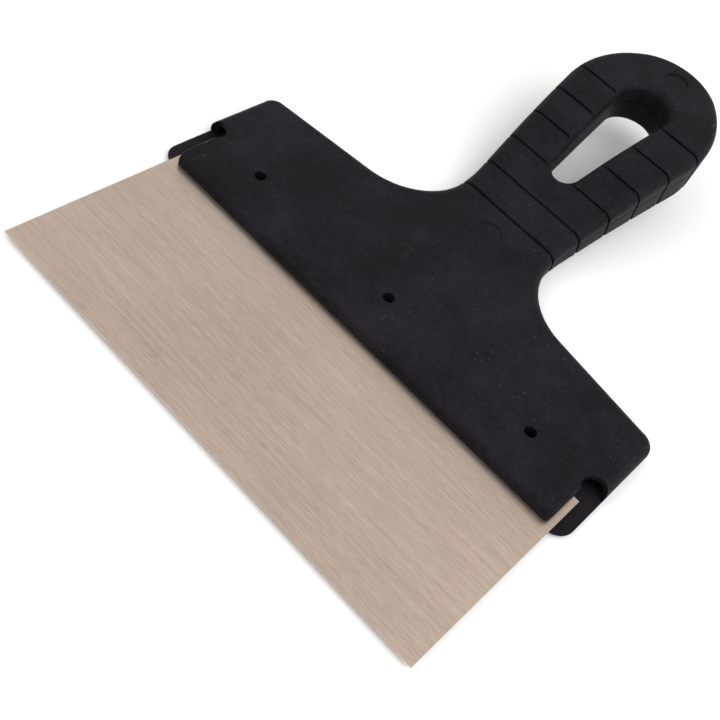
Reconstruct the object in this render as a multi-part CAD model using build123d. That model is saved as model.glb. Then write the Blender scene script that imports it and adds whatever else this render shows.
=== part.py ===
from build123d import *
import math
import os

# Wide flexible putty knife: a stainless sheet blade clamped between the two
# moulded halves of a black plastic handle, which three pins tie together.
# Working frame while modelling: X across the blade, Y from the blade's front
# edge towards the hand loop, Z up, with Z = 0 on the joint between the halves.
# At the end all parts move so that the origin is the centre of the object's
# footprint, on the surface the handle rests on.

# ---- blade ----
BLADE_WIDTH = 250.0
BLADE_DEPTH = 114.5
BLADE_THICKNESS = 0.7
BLADE_SLOT_GAP = 0.05
STUD_RADIUS = 3.5
STUD_SPACING = 60.0
STUD_COUNT = 4
STUD_Y = 104.0

# ---- handle head, seen from above ----
HEAD_HALF_WIDTH = 132.0
LIP_FRONT = 93.2
PLATE_FRONT = 91.8
PLATE_THICKNESS = 3.0
REAR_CORNER_Y = 167.0
REAR_SLOPE = math.tan(math.radians(7.3))
FRONT_CORNER_RADIUS = 9.0
REAR_CORNER_RADIUS = 8.0
NECK_HALF_WIDTH = 32.3
NECK_FILLET = 39.0

# ---- corner notches, cut through the upper half only ----
LIP_HALF_WIDTH = 121.8
NOTCH_RADIUS = 7.0
NOTCH_X = 126.6
NOTCH_Y = 119.3

# ---- grip and hand loop, seen from above ----
TAPER_START = 222.0
TAPER_END = 304.0
TAPER_FILLET = 60.0
LOOP_HALF_WIDTH = 43.2
LOOP_END = 367.0
LOOP_END_RADIUS = 37.0
LOOP_END_ANGLE = math.radians(48.0)
LOOP_SHOULDER_RADIUS = 61.0
HOLE_NARROW_RADIUS = 8.2
HOLE_NARROW_Y = 256.5
HOLE_WIDE_RADIUS = 14.8
HOLE_WIDE_Y = 318.0

# ---- side view of the handle: smooth curves through (y, z) points ----
TOP_POINTS = [(80.0, 6.8), (150.0, 8.0), (190.0, 9.0), (212.0, 11.9), (230.0, 18.2),
              (260.0, 30.0), (290.0, 38.6), (330.0, 46.4), (375.0, 51.5)]
SEAM_BEND_Y = 203.0
SEAM_POINTS = [(217.0, 3.4), (230.0, 9.0), (247.0, 15.6), (270.0, 22.4), (295.0, 28.2),
               (330.0, 34.4), (375.0, 39.4)]
BOTTOM_BEND_Y = 209.0
BOTTOM_POINTS = [(226.0, -1.2), (245.0, 4.0), (265.0, 8.6), (285.0, 12.4),
                 (305.0, 15.6), (335.0, 20.0), (375.0, 25.0)]

# ---- rounded edges ----
TOP_ROUND = 5.5
UNDERSIDE_ROUND = 2.6
HOLE_TOP_ROUND = 5.0
HOLE_BOTTOM_ROUND = 6.0
LIP_END_ROUND = 2.0

# ---- grooves round the grip ----
GROOVE_FIRST_Y = 211.0
GROOVE_COUNT = 6
GROOVE_PITCH = 17.6
GROOVE_PITCH_GROWTH = 1.3
GROOVE_WIDTH = 1.5
GROOVE_DEPTH = 1.6

# ---- fine joint line round the handle, where the halves meet ----
JOINT_LINE_WIDTH = 0.5
JOINT_LINE_DEPTH = 0.6

# ---- round marks left in the top face ----
MARK_RADIUS = 7.0
MARK_DEPTH = 0.6
MARK_CENTRES = (195.0, 349.0)

# ---- pins ----
PIN_RADIUS = 3.0
PIN_FIT = 0.05
PIN_SPACING = 89.4
PIN_RECESS = 5.0
PIN_FOOT_RECESS = 0.4
PIN_CHAMFER = 0.5

# ---- walls and ribs inside the moulded halves ----
WALL = 3.0
RIB_THICKNESS = 2.0
RIB_SPACING = 29.8
BOSS_RADIUS = 6.0
HEAD_CAVITY_FRONT = 122.0
RIB_END_Y = 200.0
LOWER_WALL_EXTRA = 0.2
SEAM_WALL = 1.0

# ---- reach of the shaping tools, well clear of the handle ----
FAR = 400.0
TOOL_BOTTOM = -50.0
TOOL_HEIGHT = 150.0
SIDE_START_Y = 80.0
SIDE_END_RISE = 0.12
CROSS_SLAB_HEIGHT = 80.0
OVERCUT = 10.0
OVERLAP = 1.0
MARK_TOOL_DROP = 20.0
UPWARD = 0.7
CLOSE = 0.01

PIN_Y = BLADE_DEPTH + PIN_RADIUS + PIN_FIT
PIN_XS = (-PIN_SPACING, 0.0, PIN_SPACING)
REAR_AT_NECK = REAR_CORNER_Y + REAR_SLOPE * (HEAD_HALF_WIDTH - NECK_HALF_WIDTH)


def side_face(lower_edges, upper_edges):
    """Closed region of the side view, standing in the YZ plane."""
    start_low = lower_edges[0] @ 0
    start_high = upper_edges[0] @ 0
    end_low = lower_edges[-1] @ 1
    end_high = upper_edges[-1] @ 1
    edges = lower_edges + upper_edges
    edges = edges + [Line(start_low, start_high), Line(end_low, end_high)]
    return Plane.YZ * make_face(edges)


def top_edges(offset=0.0):
    """Top line of the handle in side view, lowered by an offset."""
    points = [(y, z - offset) for y, z in TOP_POINTS]
    return [Spline(*points)]


def bent_edges(bend_y, level, points, offset=0.0):
    """A level line that turns into a smooth rising curve at bend_y."""
    start = (SIDE_START_Y, level + offset)
    bend = (bend_y, level + offset)
    curve = [(y, z + offset) for y, z in points]
    first = Line(start, bend)
    rise = Spline(bend, *curve, tangents=[(1.0, 0.0), (1.0, SIDE_END_RISE)])
    return [first, rise]


def seam_edges(offset=0.0):
    return bent_edges(SEAM_BEND_Y, 0.0, SEAM_POINTS, offset)


def bottom_edges(offset=0.0):
    return bent_edges(BOTTOM_BEND_Y, -PLATE_THICKNESS, BOTTOM_POINTS, offset)


def slab_between(lower_edges, upper_edges):
    """Side-view region run right across the handle's width."""
    far_side = Pos(-2.0 * HEAD_HALF_WIDTH, 0.0, 0.0) * side_face(lower_edges, upper_edges)
    return extrude(far_side, 4.0 * HEAD_HALF_WIDTH, dir=(1.0, 0.0, 0.0))


def handle_outline(front):
    """Outline of the whole handle from above, head, neck and loop, without the hand hole."""
    tip = (0.0, LOOP_END)
    end_centre_y = LOOP_END - LOOP_END_RADIUS
    across = math.cos(LOOP_END_ANGLE)
    down = math.sin(LOOP_END_ANGLE)
    end_x = LOOP_END_RADIUS * down
    end_y = end_centre_y + LOOP_END_RADIUS * across
    slope = (LOOP_HALF_WIDTH - NECK_HALF_WIDTH) / (TAPER_END - TAPER_START)
    taper_x = NECK_HALF_WIDTH + slope * (end_y - TAPER_START)
    reach = (taper_x - end_x) / (across + slope * down)
    shoulder_x = end_x + reach * across
    shoulder_y = end_y - reach * down
    sides = Polyline(
        (0.0, front),
        (HEAD_HALF_WIDTH, front),
        (HEAD_HALF_WIDTH, REAR_CORNER_Y),
        (NECK_HALF_WIDTH, REAR_AT_NECK),
        (NECK_HALF_WIDTH, TAPER_START),
        (shoulder_x, shoulder_y),
        (end_x, end_y),
    )
    half_angle = LOOP_END_ANGLE / 2.0
    mid_x = LOOP_END_RADIUS * math.sin(half_angle)
    mid_y = end_centre_y + LOOP_END_RADIUS * math.cos(half_angle)
    end_arc = ThreePointArc((end_x, end_y), (mid_x, mid_y), tip)
    right = sides.edges() + end_arc.edges()
    left = [edge.mirror(Plane.YZ) for edge in right]
    outline = make_face(right + left)
    rounds = [
        (HEAD_HALF_WIDTH, front, FRONT_CORNER_RADIUS),
        (HEAD_HALF_WIDTH, REAR_CORNER_Y, REAR_CORNER_RADIUS),
        (NECK_HALF_WIDTH, REAR_AT_NECK, NECK_FILLET),
        (NECK_HALF_WIDTH, TAPER_START, TAPER_FILLET),
        (shoulder_x, shoulder_y, LOOP_SHOULDER_RADIUS),
    ]
    for x, y, radius in rounds:
        corners = [v for v in outline.vertices() if abs(abs(v.X) - x) < CLOSE and abs(v.Y - y) < CLOSE]
        outline = fillet(corners, radius)
    return outline


def hand_hole(offset=0.0):
    """Teardrop of the hand hole: two circles and their common tangents."""
    narrow = HOLE_NARROW_RADIUS + offset
    wide = HOLE_WIDE_RADIUS + offset
    span = HOLE_WIDE_Y - HOLE_NARROW_Y
    lean = math.asin((wide - narrow) / span)
    nx = math.cos(lean)
    ny = -math.sin(lean)
    narrow_right = (narrow * nx, HOLE_NARROW_Y + narrow * ny)
    narrow_left = (-narrow * nx, HOLE_NARROW_Y + narrow * ny)
    wide_right = (wide * nx, HOLE_WIDE_Y + wide * ny)
    wide_left = (-wide * nx, HOLE_WIDE_Y + wide * ny)
    near_end = ThreePointArc(narrow_left, (0.0, HOLE_NARROW_Y - narrow), narrow_right)
    far_end = ThreePointArc(wide_right, (0.0, HOLE_WIDE_Y + wide), wide_left)
    return make_face([near_end, Line(narrow_right, wide_right), far_end, Line(wide_left, narrow_left)])


def column(sketch, bottom=TOOL_BOTTOM, height=TOOL_HEIGHT):
    """A flat shape run straight up through the handle."""
    return extrude(Pos(0.0, 0.0, bottom) * sketch, height)


def point_on_top(y):
    """Height and rise of the top line at a distance along the handle."""
    curve = top_edges()[0]
    low = 0.0
    high = 1.0
    for _ in range(40):
        middle = (low + high) / 2.0
        if (curve @ middle).X < y:
            low = middle
        else:
            high = middle
    tangent = curve % middle
    return (curve @ middle).Y, math.degrees(math.atan2(tangent.Y, tangent.X))


def cross_slab(y, thickness):
    """Flat slab square to the top line at y, used for grooves and for ribs."""
    z, rise = point_on_top(y)
    slab = Box(2.0 * HEAD_HALF_WIDTH, thickness, CROSS_SLAB_HEIGHT)
    return Pos(0.0, y, z) * Rot(rise, 0.0, 0.0) * slab


def groove_positions():
    """Distance of each groove from the blade's front edge, a little further apart towards the loop."""
    positions = []
    for index in range(GROOVE_COUNT):
        growth = GROOVE_PITCH_GROWTH * index * (index - 1) / 2.0
        positions.append(GROOVE_FIRST_Y + GROOVE_PITCH * index + growth)
    return positions


def upward_faces(solid, direction):
    """Faces whose middle looks up (direction 1) or down (direction -1)."""
    return [face for face in solid.faces() if direction * face.normal_at().Z > UPWARD]


def rim_edges(solid, direction):
    """Edges where the top (or bottom) faces meet the side walls."""
    caps = upward_faces(solid, direction)
    edges = []
    for cap in caps:
        for edge in cap.edges():
            ends = edge.bounding_box()
            across = ends.size.Y < CLOSE and ends.min.Y > REAR_CORNER_Y
            if not across:
                edges.append(edge)
    return edges


def upper_blank(inset, seam_drop):
    """Outside of the upper half with rounded top edges, shrunk by an inset."""
    outline = handle_outline(LIP_FRONT)
    if inset > 0.0:
        outline = offset(outline, -inset)
    blank = column(outline) & slab_between(seam_edges(-seam_drop), top_edges(inset))
    return fillet(rim_edges(blank, 1), TOP_ROUND - inset)


def lower_blank(inset, seam_rise):
    """Outside of the lower half with rounded bottom edges, shrunk by an inset."""
    outline = handle_outline(PLATE_FRONT)
    if inset > 0.0:
        outline = offset(outline, -inset)
    blank = column(outline) & slab_between(bottom_edges(inset), seam_edges(seam_rise))
    return fillet(rim_edges(blank, -1), UNDERSIDE_ROUND - inset)


def disc(x, y, radius, bottom=TOOL_BOTTOM, height=TOOL_HEIGHT):
    """Upright round bar or hole tool centred on x, y."""
    return column(Pos(x, y) * Circle(radius), bottom, height)


def groove_cutter(core):
    """Narrow rings, one groove deep, at every groove of the grip."""
    rings = Part()
    for y in groove_positions():
        rings += cross_slab(y, GROOVE_WIDTH)
    return rings - core


def mark_cutter():
    """Shallow round recesses that follow the top face."""
    discs = Part()
    for y in MARK_CENTRES:
        discs += disc(0.0, y, MARK_RADIUS)
    below_floor = slab_between(seam_edges(-MARK_TOOL_DROP), top_edges(MARK_DEPTH))
    return discs - below_floor


def joint_line_cutter():
    """Narrow step just above the joint, round the outside and inside the hand hole."""
    band = slab_between(seam_edges(-SEAM_WALL), seam_edges(JOINT_LINE_WIDTH))
    core = column(offset(handle_outline(LIP_FRONT), -JOINT_LINE_DEPTH))
    core -= column(hand_hole(JOINT_LINE_DEPTH))
    return band - core


def notch_cutter():
    """Both corner notches: a straight slot from the front with a round end."""
    slot_width = HEAD_HALF_WIDTH - LIP_HALF_WIDTH + OVERCUT
    slot_depth = NOTCH_Y - PLATE_FRONT + OVERCUT
    slot_x = LIP_HALF_WIDTH + slot_width / 2.0
    slot_y = NOTCH_Y - slot_depth / 2.0
    right = Pos(slot_x, slot_y) * Rectangle(slot_width, slot_depth)
    right += Pos(NOTCH_X, NOTCH_Y) * Circle(NOTCH_RADIUS)
    return column(right) + column(mirror(right, Plane.YZ))


def blade_outline(clearance=0.0):
    width = BLADE_WIDTH + 2.0 * clearance
    depth = BLADE_DEPTH + clearance
    return Pos(0.0, depth / 2.0) * Rectangle(width, depth)


def stud_xs():
    """Places of the studs across the blade, evenly spaced about the middle."""
    middle = (STUD_COUNT - 1) / 2.0
    return [STUD_SPACING * (index - middle) for index in range(STUD_COUNT)]


def make_blade():
    """Flat stainless sheet with four round holes that seat on the studs."""
    blade = column(blade_outline(), 0.0, BLADE_THICKNESS)
    for x in stud_xs():
        blade -= disc(x, STUD_Y, STUD_RADIUS + PIN_FIT)
    return blade


def cut_hand_hole(shell, direction, rim_radius):
    """Cut the hand hole through a half and round its outer rim."""
    shell -= column(hand_hole())
    limit = HOLE_WIDE_RADIUS + OVERLAP
    rim = []
    for edge in rim_edges(shell, direction):
        box = edge.bounding_box()
        inside = max(abs(box.min.X), abs(box.max.X)) < limit
        if inside and box.max.Y < HOLE_WIDE_Y + limit:
            rim.append(edge)
    return fillet(rim, rim_radius)


def ribbed_cavity(blank):
    """Hollow inside a half, broken up by ribs and by bosses round the pins."""
    cavity = blank - column(hand_hole(WALL))
    solid_front = Pos(0.0, HEAD_CAVITY_FRONT - FAR / 2.0, 0.0) * Box(FAR, FAR, FAR)
    cavity -= solid_front
    for x in PIN_XS:
        cavity -= disc(x, PIN_Y, BOSS_RADIUS)
    ribs_each_side = int(HEAD_HALF_WIDTH / RIB_SPACING)
    for index in range(-ribs_each_side, ribs_each_side + 1):
        rib = Pos(RIB_SPACING * index, 0.0, 0.0) * Box(RIB_THICKNESS, 2.0 * RIB_END_Y, FAR)
        cavity -= rib
    for y in groove_positions():
        cavity -= cross_slab(y, RIB_THICKNESS)
    return cavity


def round_lip_ends(shell):
    """Round the lip's two end walls where they meet its front and its top."""
    ends = []
    for edge in shell.edges():
        box = edge.bounding_box()
        on_end_wall = box.size.X < CLOSE and abs(abs(box.min.X) - LIP_HALF_WIDTH) < CLOSE
        if on_end_wall and box.size.Y > CLOSE and box.max.Z > TOP_ROUND:
            ends.append(edge)
    return fillet(ends, LIP_END_ROUND)


def make_upper_half():
    """Top moulding: lip, head, grip and loop, hollow inside, with the blade's slot under it."""
    shell = upper_blank(0.0, 0.0)
    shell = cut_hand_hole(shell, 1, HOLE_TOP_ROUND)
    shell = round_lip_ends(shell - notch_cutter())
    shell -= groove_cutter(upper_blank(GROOVE_DEPTH, WALL))
    shell -= joint_line_cutter()
    shell -= mark_cutter()
    shell -= column(blade_outline(PIN_FIT), -OVERLAP, OVERLAP + BLADE_THICKNESS + BLADE_SLOT_GAP)
    for x in PIN_XS:
        shell -= disc(x, PIN_Y, PIN_RADIUS + PIN_FIT)
    shell -= ribbed_cavity(upper_blank(WALL, SEAM_WALL))
    return shell


def make_lower_half():
    """Bottom moulding: flat plate under the head, then the rising underside of the grip."""
    shell = lower_blank(0.0, 0.0)
    shell = cut_hand_hole(shell, -1, HOLE_BOTTOM_ROUND)
    shell -= groove_cutter(lower_blank(GROOVE_DEPTH, WALL))
    for x in PIN_XS:
        shell -= disc(x, PIN_Y, PIN_RADIUS + PIN_FIT)
    for x in stud_xs():
        shell += disc(x, STUD_Y, STUD_RADIUS, -OVERLAP, OVERLAP + BLADE_THICKNESS - PIN_FIT)
    hollow = column(offset(handle_outline(PLATE_FRONT), -WALL))
    hollow &= slab_between(bottom_edges(WALL + LOWER_WALL_EXTRA), seam_edges(SEAM_WALL))
    shell -= ribbed_cavity(hollow)
    return shell


def make_pins():
    """Three short pins, recessed below the top face and nearly flush underneath."""
    foot = -PLATE_THICKNESS + PIN_FOOT_RECESS
    head, _ = point_on_top(PIN_Y)
    length = head - PIN_RECESS - foot
    pins = []
    for x in PIN_XS:
        pin = Pos(x, PIN_Y, foot + length / 2.0) * Cylinder(PIN_RADIUS, length)
        pin = chamfer(pin.edges().filter_by(GeomType.CIRCLE), PIN_CHAMFER)
        pins.append(pin)
    return Compound(children=pins)


def save(node, shape):
    """Move a finished part into the object's own frame and write it."""
    home = Pos(0.0, -LOOP_END / 2.0, PLATE_THICKNESS)
    export_step(home * shape, f"parts/{node}.step")
    print(node, round(shape.volume), "mm3,", len(shape.solids()), "solid(s)")


os.makedirs("parts", exist_ok=True)
save("blade", make_blade())
save("handle_pins", make_pins())
save("handle_upper_half", make_upper_half())
save("handle_lower_half", make_lower_half())
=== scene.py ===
# %% [markdown]
# # A wide flexible putty knife
# A thin stainless sheet sits between the two moulded halves of a black plastic handle, and three
# short pins tie the halves together. The engineering model gives every piece its size and place, so
# this lesson starts from it: each piece below is a copy of an engineering part that is cleaned, given
# softened edges and then given a finish built from nodes. That way the pieces always fit.

# %% Load the engineering model
import bmesh
import bpy
import math
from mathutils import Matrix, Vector


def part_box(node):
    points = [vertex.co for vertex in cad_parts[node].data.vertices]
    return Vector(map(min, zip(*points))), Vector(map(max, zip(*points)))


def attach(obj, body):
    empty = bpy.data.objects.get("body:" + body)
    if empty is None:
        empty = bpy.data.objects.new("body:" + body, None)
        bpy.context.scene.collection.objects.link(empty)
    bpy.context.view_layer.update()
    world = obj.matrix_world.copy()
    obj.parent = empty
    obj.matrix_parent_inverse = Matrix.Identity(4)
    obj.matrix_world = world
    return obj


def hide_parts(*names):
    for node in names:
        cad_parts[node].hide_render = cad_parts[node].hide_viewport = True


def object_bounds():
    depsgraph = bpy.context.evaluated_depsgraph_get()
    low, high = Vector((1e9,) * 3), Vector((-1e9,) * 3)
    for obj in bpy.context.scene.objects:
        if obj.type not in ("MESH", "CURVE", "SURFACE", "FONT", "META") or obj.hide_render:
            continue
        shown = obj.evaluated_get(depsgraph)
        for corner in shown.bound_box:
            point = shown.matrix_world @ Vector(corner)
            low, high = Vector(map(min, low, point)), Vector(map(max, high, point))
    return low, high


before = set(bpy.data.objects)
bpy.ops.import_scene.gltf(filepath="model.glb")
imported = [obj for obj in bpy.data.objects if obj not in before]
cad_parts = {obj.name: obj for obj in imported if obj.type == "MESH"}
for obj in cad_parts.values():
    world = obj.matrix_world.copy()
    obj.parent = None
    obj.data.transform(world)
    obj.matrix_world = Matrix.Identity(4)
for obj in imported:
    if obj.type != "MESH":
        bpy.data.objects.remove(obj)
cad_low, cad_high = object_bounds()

MM = 0.001
BODY = "root"
print("engineering model, m:", [round(side, 4) for side in cad_high - cad_low])

# %% [markdown]
# ## A helper for choosing what an operator works on
# Every operator in Blender acts on all that is selected, and loading the model leaves all its parts
# selected. So each step first clears the selection and then picks one piece as the active one.

# %% Pick one piece


def pick(piece):
    """Make one piece the only selected object and the active one."""
    if bpy.context.mode != "OBJECT":
        bpy.ops.object.mode_set(mode="OBJECT")
    bpy.ops.object.select_all(action="DESELECT")
    piece.select_set(True)
    bpy.context.view_layer.objects.active = piece


# %% [markdown]
# ## Turning an engineering part into a piece worth looking at
# An engineering part arrives as loose triangles with knife-sharp edges. A real moulding or cut sheet
# never has those: its edges are broken by a fraction of a millimetre, and that thin rounded line is
# what catches the light. So a copy of the part has its triangles merged, its flat areas joined into
# whole faces, and a narrow bevel put on every edge that turns sharply. The part itself stays as it is.

# %% Copy, clean and soften a part
MERGE_GAP = 0.002 * MM
FLAT_ANGLE = math.radians(0.6)
SHARP_ANGLE = math.radians(32.0)
SMOOTH_ANGLE = math.radians(38.0)
EDGE_SEGMENTS = 2


def merged_copy(node, name):
    """A copy of a CAD node with its loose triangles joined into whole faces."""
    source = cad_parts[node]
    piece = bpy.data.objects.new(name, source.data.copy())
    bpy.context.scene.collection.objects.link(piece)
    piece.data.materials.clear()
    pick(piece)
    bpy.ops.mesh.customdata_custom_splitnormals_clear()
    bpy.ops.object.mode_set(mode="EDIT")
    bpy.ops.mesh.select_all(action="SELECT")
    bpy.ops.mesh.remove_doubles(threshold=MERGE_GAP)
    bpy.ops.mesh.dissolve_limited(angle_limit=FLAT_ANGLE)
    bpy.ops.object.mode_set(mode="OBJECT")
    return piece


def soften(piece, edge_radius, weight_of=None):
    """Round every sharp edge, by the full radius or by a share of it that depends on its place."""
    pick(piece)
    weights = piece.data.attributes.new("bevel_weight_edge", "FLOAT", "EDGE")
    shape = bmesh.new()
    shape.from_mesh(piece.data)
    for edge in shape.edges:
        if edge.is_manifold and edge.calc_face_angle() > SHARP_ANGLE:
            weights.data[edge.index].value = weight_of(edge) if weight_of else 1.0
    shape.free()
    bevel = piece.modifiers.new("softened edges", "BEVEL")
    bevel.width = edge_radius
    bevel.segments = EDGE_SEGMENTS
    bevel.limit_method = "WEIGHT"
    bevel.use_clamp_overlap = False
    bpy.ops.object.modifier_apply(modifier=bevel.name)
    bpy.ops.object.shade_smooth_by_angle(angle=SMOOTH_ANGLE)
    flats = piece.modifiers.new("flats stay flat", "WEIGHTED_NORMAL")
    flats.keep_sharp = True
    bpy.ops.object.modifier_apply(modifier=flats.name)
    print(piece.name, len(piece.data.polygons), "faces")


# %% [markdown]
# ## The blade
# The blade is a rectangle of stainless sheet, sheared to size. Shearing leaves a burr that is rubbed
# off, so the edges are broken by about a tenth of a millimetre.

# %% Blade
BLADE_EDGE = 0.08 * MM

blade = merged_copy("blade", "blade_sheet")
soften(blade, BLADE_EDGE)

# %% [markdown]
# ## The two halves of the handle
# A moulded part has a small radius on every edge, because the mould is cut that way. The radius also
# shows where the halves meet: two soft edges side by side make the thin dark line of the seam.

# %% Handle halves
GROOVE_EDGE = 0.50 * MM
OTHER_EDGE_SHARE = 0.30
GRIP_START = 22.0 * MM
GRIP_END = 134.0 * MM
GRIP_RISE = math.radians(21.0)
grip_axis = Vector((0.0, math.cos(GRIP_RISE), math.sin(GRIP_RISE)))
ACROSS = 0.32


def moulded_edge(edge):
    """Share of the rounding: all of it on a groove's edges, which run across the grip."""
    start, end = (corner.co for corner in edge.verts)
    middle_y = (start.y + end.y) / 2.0
    along = abs((end - start).normalized().dot(grip_axis))
    on_groove = GRIP_START < middle_y < GRIP_END and along < ACROSS
    return 1.0 if on_groove else OTHER_EDGE_SHARE


upper_half = merged_copy("handle_upper_half", "handle_upper_shell")
soften(upper_half, GROOVE_EDGE, moulded_edge)
lower_half = merged_copy("handle_lower_half", "handle_lower_shell")
soften(lower_half, GROOVE_EDGE, moulded_edge)

# %% [markdown]
# ## The pins
# Three plain pins stand deep in their holes, so all that shows is a dark disc at the bottom.

# %% Pins
PIN_EDGE = 0.15 * MM

pins = merged_copy("handle_pins", "handle_pin_set")
soften(pins, PIN_EDGE)

# %% [markdown]
# ## Shader maths written as sums
# A finish is a tree of nodes. Adding each Math node by hand makes long code, so one small class wraps
# the output of a node and lets it be used in a sum. `1 - mask * 0.5` then adds two Math nodes.

# %% A wire that can be added and multiplied


class Wire:
    """One output of a node, used in sums like a plain number."""

    def __init__(self, tree, socket):
        self.tree = tree
        self.socket = socket

    def _sum(self, operation, first, second):
        """Add one Math node that works on two wires or numbers."""
        node = self.tree.nodes.new("ShaderNodeMath")
        node.operation = operation
        plug(self.tree, first, node.inputs[0])
        plug(self.tree, second, node.inputs[1])
        return Wire(self.tree, node.outputs[0])

    def __add__(self, other):
        return self._sum("ADD", self, other)

    def __radd__(self, other):
        return self._sum("ADD", other, self)

    def __sub__(self, other):
        return self._sum("SUBTRACT", self, other)

    def __rsub__(self, other):
        return self._sum("SUBTRACT", other, self)

    def __mul__(self, other):
        return self._sum("MULTIPLY", self, other)

    def __rmul__(self, other):
        return self._sum("MULTIPLY", other, self)


def plug(tree, value, socket):
    """Join a wire to a socket, or set the socket to a plain value."""
    if isinstance(value, Wire):
        tree.links.new(value.socket, socket)
    else:
        socket.default_value = value


# %% [markdown]
# ## A finish
# Each finish starts from one Principled shader. Numbers that are the same all over are set on the
# shader's own sockets. Only what changes over the surface is wired in, later, by the finish itself.

# %% A material with its nodes
# A Mix node holds sockets for numbers, vectors and colours, and these are the places of the colour
# ones among them.
MIX_AMOUNT = 0
MIX_FIRST = 6
MIX_SECOND = 7
MIX_RESULT = 2

METAL = 1.0
NOT_METAL = 0.0


class Finish:
    """One material: its Principled shader and the nodes that feed it."""

    def __init__(self, name, slot, metallic, gloss_level):
        self.material = bpy.data.materials.new(name)
        self.material.use_nodes = True
        self.slot = slot
        self.tree = self.material.node_tree
        self.shader = self.tree.nodes["Principled BSDF"]
        self.shader.inputs["Metallic"].default_value = metallic
        self.shader.inputs["Specular IOR Level"].default_value = gloss_level
        self.place = self.node("ShaderNodeTexCoord", {}, {}, "Object")

    def node(self, kind, settings, values, output=0):
        """Add a node, set it up, plug in its sockets and give back one of its outputs."""
        node = self.tree.nodes.new(kind)
        for name, value in settings.items():
            setattr(node, name, value)
        for key, value in values.items():
            plug(self.tree, value, node.inputs[key])
        return Wire(self.tree, node.outputs[output])

    def stretched(self, scale):
        """The place on the piece, multiplied along X, Y and Z."""
        return self.node("ShaderNodeMapping", {}, {"Vector": self.place, "Scale": scale})

    def noise(self, grains_per_metre, detail=2.0, roughness=0.5, vector=None):
        """Soft random grey, with features about one over the scale in size."""
        place = vector or self.place
        values = {"Vector": place, "Scale": grains_per_metre}
        values.update({"Detail": detail, "Roughness": roughness})
        return self.node("ShaderNodeTexNoise", {}, values)

    def fade(self, value, low, high):
        """0 below low, 1 above high and a smooth change in between."""
        settings = {"interpolation_type": "SMOOTHSTEP"}
        values = {"Value": value, "From Min": low, "From Max": high}
        return self.node("ShaderNodeMapRange", settings, values)

    def blend(self, amount, first, second):
        """Mix two colours by an amount from 0 to 1."""
        values = {MIX_AMOUNT: amount, MIX_FIRST: first, MIX_SECOND: second}
        return self.node("ShaderNodeMix", {"data_type": "RGBA"}, values, MIX_RESULT)

    def near(self, centre, reach):
        """1 at a point of the piece, fading to 0 at a distance."""
        settings = {"operation": "DISTANCE"}
        gap = self.node("ShaderNodeVectorMath", settings, {0: self.place, 1: centre}, "Value")
        return 1 - self.fade(gap, 0.0, reach)

    def finish(self, colour, roughness, height, depth):
        """Wire the colour, the roughness and the bump into the shader."""
        plug(self.tree, colour, self.shader.inputs["Base Color"])
        plug(self.tree, roughness, self.shader.inputs["Roughness"])
        values = {"Strength": 1.0, "Distance": depth, "Height": height}
        bump = self.node("ShaderNodeBump", {}, values)
        plug(self.tree, bump, self.shader.inputs["Normal"])

    def put_on(self, piece):
        """Give the finish to a piece and print how many nodes it has."""
        piece.data.materials.append(self.material)
        print(self.material.name, "has", len(self.tree.nodes), "nodes and is on", piece.name)


# %% [markdown]
# ## Brushed stainless steel
# The sheet is brushed along its width, so its scratches are long lines across the blade. A noise
# texture squeezed hard in one direction gives such lines: three sizes of them, from broad soft bands
# to hair-thin scratches. They change the colour a little, the roughness more, and the height least.

# %% Steel finish
STEEL_PALE = (0.680, 0.552, 0.462, 1.0)
STEEL_DARK = (0.475, 0.380, 0.312, 1.0)
STAIN = (0.34, 0.265, 0.21, 1.0)
STAIN_STRENGTH = 0.35
STAIN_REACH = 160.0 * MM
BAND_GRAIN = (6.0, 420.0, 420.0)
STROKE_GRAIN = (30.0, 1300.0, 1300.0)
HAIR_GRAIN = (170.0, 3200.0, 3200.0)
BRUSH_DEPTH = 0.005 * MM
STEEL_GLOSS = 0.5

steel = Finish("brushed_stainless", "blade_steel", METAL, STEEL_GLOSS)
bands = steel.noise(1.0, 2.0, 0.5, steel.stretched(BAND_GRAIN))
strokes = steel.noise(1.0, 3.0, 0.6, steel.stretched(STROKE_GRAIN))
hairs = steel.noise(1.0, 2.0, 0.6, steel.stretched(HAIR_GRAIN))
cloud = steel.noise(9.0, 2.0, 0.5)
brushing = 0.14 * bands + 0.38 * strokes + 0.48 * hairs
front_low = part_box("blade")[0].y
front_band = steel.near((0.0, front_low, 0.0), STAIN_REACH)
spots = steel.fade(steel.noise(95.0, 4.0, 0.65), 0.60, 0.74)
stains = spots * front_band * STAIN_STRENGTH
lightness = steel.fade(brushing + 0.20 * cloud, 0.40, 0.82)
steel_tone = steel.blend(lightness, STEEL_DARK, STEEL_PALE)
steel_colour = steel.blend(stains, steel_tone, STAIN)
steel_roughness = 0.25 + 0.14 * brushing + 0.05 * cloud
steel.finish(steel_colour, steel_roughness, brushing, BRUSH_DEPTH)
steel.put_on(blade)

# %% [markdown]
# ## Black moulded plastic
# The mould is spark-eroded, so the plastic has a fine even grain. It is almost black, and what shows
# is mostly the soft sheen of the grain. Handling leaves dust in the grain and pale scuffs where the
# knife has been laid down or dropped, so those are added where such a knife is touched most.

# %% Plastic finish
PLASTIC_BLACK = (0.0030, 0.0024, 0.0040, 1.0)
PLASTIC_WORN = (0.0120, 0.0100, 0.0140, 1.0)
DUST = (0.17, 0.15, 0.14, 1.0)
DUST_STRENGTH = 0.30
SCUFF_STRENGTH = 0.35
SCRATCH_GRAIN = (500.0, 90.0, 500.0)
GRAIN_DEPTH = 0.10 * MM
PLASTIC_GLOSS = 0.12


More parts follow.
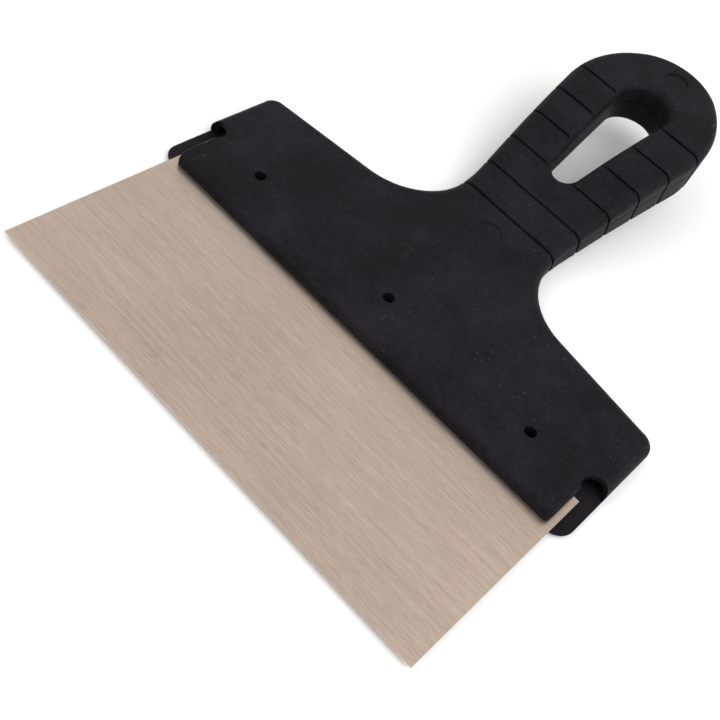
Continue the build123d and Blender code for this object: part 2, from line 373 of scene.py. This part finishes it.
def black_plastic(name, slot, scuff_places):
    """Grained black plastic with dust and with scuffs round the places given."""
    plastic = Finish(name, slot, NOT_METAL, PLASTIC_GLOSS)
    grain = plastic.noise(1500.0, 2.0, 0.6)
    pits = plastic.noise(420.0, 2.0, 0.5)
    cloud = plastic.noise(38.0, 3.0, 0.55)
    specks = plastic.fade(plastic.noise(760.0, 1.0, 0.4), 0.735, 0.79)
    dusty = plastic.fade(plastic.noise(22.0, 2.0, 0.5), 0.42, 0.68)
    lines = plastic.noise(1.0, 2.0, 0.6, plastic.stretched(SCRATCH_GRAIN))
    scratches = plastic.fade(lines, 0.66, 0.74)
    scuffs = 0.0
    for centre, reach in scuff_places:
        scuffs = scuffs + plastic.near(centre, reach)
    wear = plastic.fade(0.45 * cloud + 0.30 * grain + 0.25 * pits, 0.39, 0.62)
    tone = plastic.blend(wear, PLASTIC_BLACK, PLASTIC_WORN)
    marks = specks * dusty * DUST_STRENGTH + scratches * scuffs * SCUFF_STRENGTH
    colour = plastic.blend(marks, tone, DUST)
    roughness = 0.50 + 0.10 * cloud + 0.08 * grain
    plastic.finish(colour, roughness, 0.7 * grain + 0.3 * pits, GRAIN_DEPTH)
    return plastic


upper_low, upper_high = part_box("handle_upper_half")
left_corner = (upper_low.x + 18.0 * MM, upper_low.y + 20.0 * MM, 10.0 * MM)
loop_side = (upper_high.x * 0.28, upper_high.y - 30.0 * MM, upper_high.z)
grip_front = (10.0 * MM, 35.0 * MM, 18.0 * MM)
scuffed = [(left_corner, 25.0 * MM), (loop_side, 26.0 * MM), (grip_front, 18.0 * MM)]
black_plastic("grained_black_upper", "upper_plastic", scuffed).put_on(upper_half)
black_plastic("grained_black_lower", "lower_plastic", [(loop_side, 22.0 * MM)]).put_on(lower_half)
black_plastic("grained_black_pins", "pin_plastic", [(left_corner, 5.0 * MM)]).put_on(pins)

# %% [markdown]
# ## Each piece takes its part's place
# The knife has no joint, so all four pieces ride on one body, and each hides the engineering part that
# it stands for.

# %% Ride and replace
stand_ins = {
    "blade": blade,
    "handle_upper_half": upper_half,
    "handle_lower_half": lower_half,
    "handle_pins": pins,
}
for node, piece in stand_ins.items():
    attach(piece, BODY)
    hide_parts(node)
print("pieces:", sorted(piece.name for piece in stand_ins.values()))

# %% [markdown]
# ## The table top
# A plain pale surface with the faintest unevenness, so that the contact shadow falls on something.

# %% Floor
FLOOR_SIDE = 8.0
PAPER_DULL = (0.95, 0.95, 0.95, 1.0)
PAPER_PALE = (0.97, 0.97, 0.972, 1.0)
PAPER_DEPTH = 0.02 * MM
PAPER_GLOSS = 0.3

bpy.ops.object.select_all(action="DESELECT")
bpy.ops.mesh.primitive_plane_add(size=FLOOR_SIDE, location=(0.0, 0.0, cad_low.z))
floor = bpy.context.active_object
floor.name = "pale_table_top"
bpy.ops.object.transform_apply(location=True, rotation=True, scale=True)
paper = Finish("pale_paper", None, NOT_METAL, PAPER_GLOSS)
paper_cloud = paper.noise(6.0, 2.0, 0.5)
paper_colour = paper.blend(paper_cloud, PAPER_DULL, PAPER_PALE)
paper.finish(paper_colour, 0.75 + 0.1 * paper_cloud, paper_cloud, PAPER_DEPTH)
floor.data.materials.append(paper.material)
print("table top, m:", FLOOR_SIDE, "square at height", round(cad_low.z, 4))

# %% [markdown]
# ## Soft studio light
# A pale world gives an even fill, like a light tent. Two large area lights add a direction: one big
# one overhead on the right, and a weaker one on the left that opens up the shadows.

# %% Lights
# Each lamp has a place in metres, the side of its square and its power in watts.
TENT_COLOUR = (1.0, 0.995, 0.985, 1.0)
WORLD_STRENGTH = 0.82
KEY = ((1.10, -0.20, 1.50), 1.5, 18.0)
FILL = ((-1.0, -0.9, 1.0), 1.4, 5.0)

world = bpy.data.worlds.new("light_tent")
bpy.context.scene.world = world
world.use_nodes = True
tent = world.node_tree.nodes["Background"]
tent.inputs["Color"].default_value = TENT_COLOUR
tent.inputs["Strength"].default_value = WORLD_STRENGTH


def soft_light(name, place, side, watts):
    """A square area light that looks at the middle of the knife."""
    bpy.ops.object.light_add(type="AREA", location=place)
    lamp = bpy.context.active_object
    lamp.name = name
    lamp.data.size = side
    lamp.data.energy = watts
    aim = (cad_low + cad_high) / 2.0 - Vector(place)
    lamp.rotation_mode = "QUATERNION"
    lamp.rotation_quaternion = aim.to_track_quat("-Z", "Y")


soft_light("key_light", *KEY)
soft_light("fill_light", *FILL)

# %% [markdown]
# ## The camera
# The camera stands in front of the blade's right corner, looks down at about fifty degrees, and is
# rolled, so that the knife lies across the picture from the lower left to the upper right.

# %% Camera
CAMERA_PLACE = (0.1335, -0.3673, 0.3515)
CAMERA_TURN = (37.30, -16.37, 44.09)
CAMERA_LENS = 51.12

bpy.ops.object.camera_add(location=CAMERA_PLACE)
camera = bpy.context.active_object
camera.name = "camera"
camera.rotation_euler = [math.radians(angle) for angle in CAMERA_TURN]
camera.data.lens = CAMERA_LENS
camera.data.clip_start = 10.0 * MM
bpy.context.scene.camera = camera
bpy.context.scene.view_settings.view_transform = "Standard"
print("camera, m:", [round(part, 3) for part in camera.location], "lens, mm:", CAMERA_LENS)
